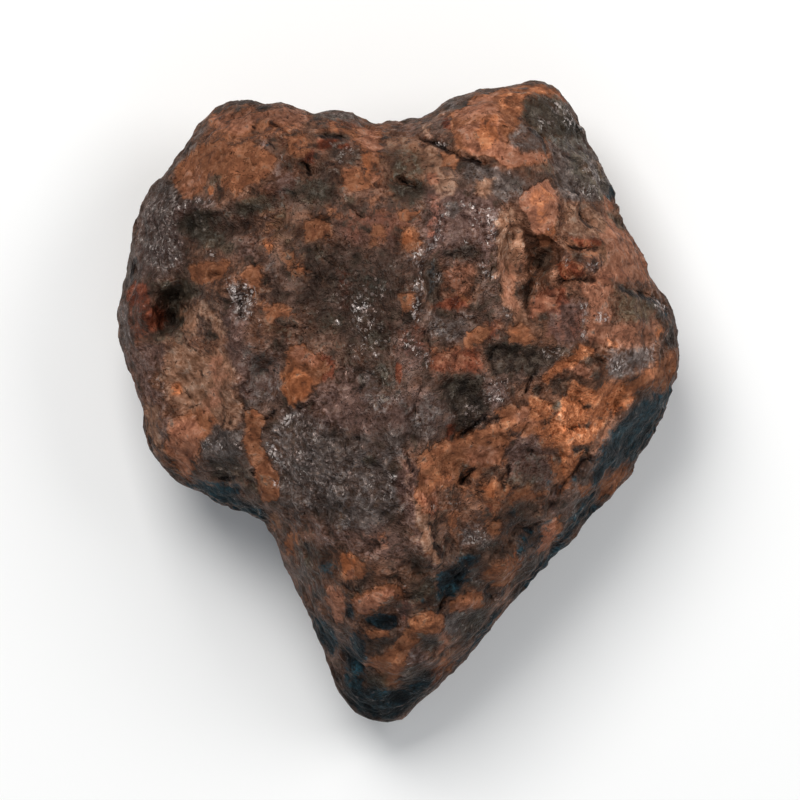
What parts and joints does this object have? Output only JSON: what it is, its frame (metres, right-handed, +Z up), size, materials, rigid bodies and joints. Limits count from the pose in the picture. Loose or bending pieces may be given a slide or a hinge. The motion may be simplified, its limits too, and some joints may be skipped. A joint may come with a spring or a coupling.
{
  "type": "meteorite",
  "caption": "Weathered meteorite in one heavy heart-shaped lump, with thumbprint hollows, a pit on each lobe and a rusty crust, lying on a worn flat underside.",
  "frame": {"origin": "on the surface it rests on, under the middle of its outline", "axes": "+Z up, away from the worn flat underside; -Y towards the narrow end; +X to the right when looking down on it with the narrow end nearest"},
  "size_m": [0.105, 0.1198, 0.0556],
  "materials": {
    "weathered_crust": "satin"
  },
  "bodies": {
    "root": {"meteorite": "weathered_crust"}
  },
  "joints": []
}
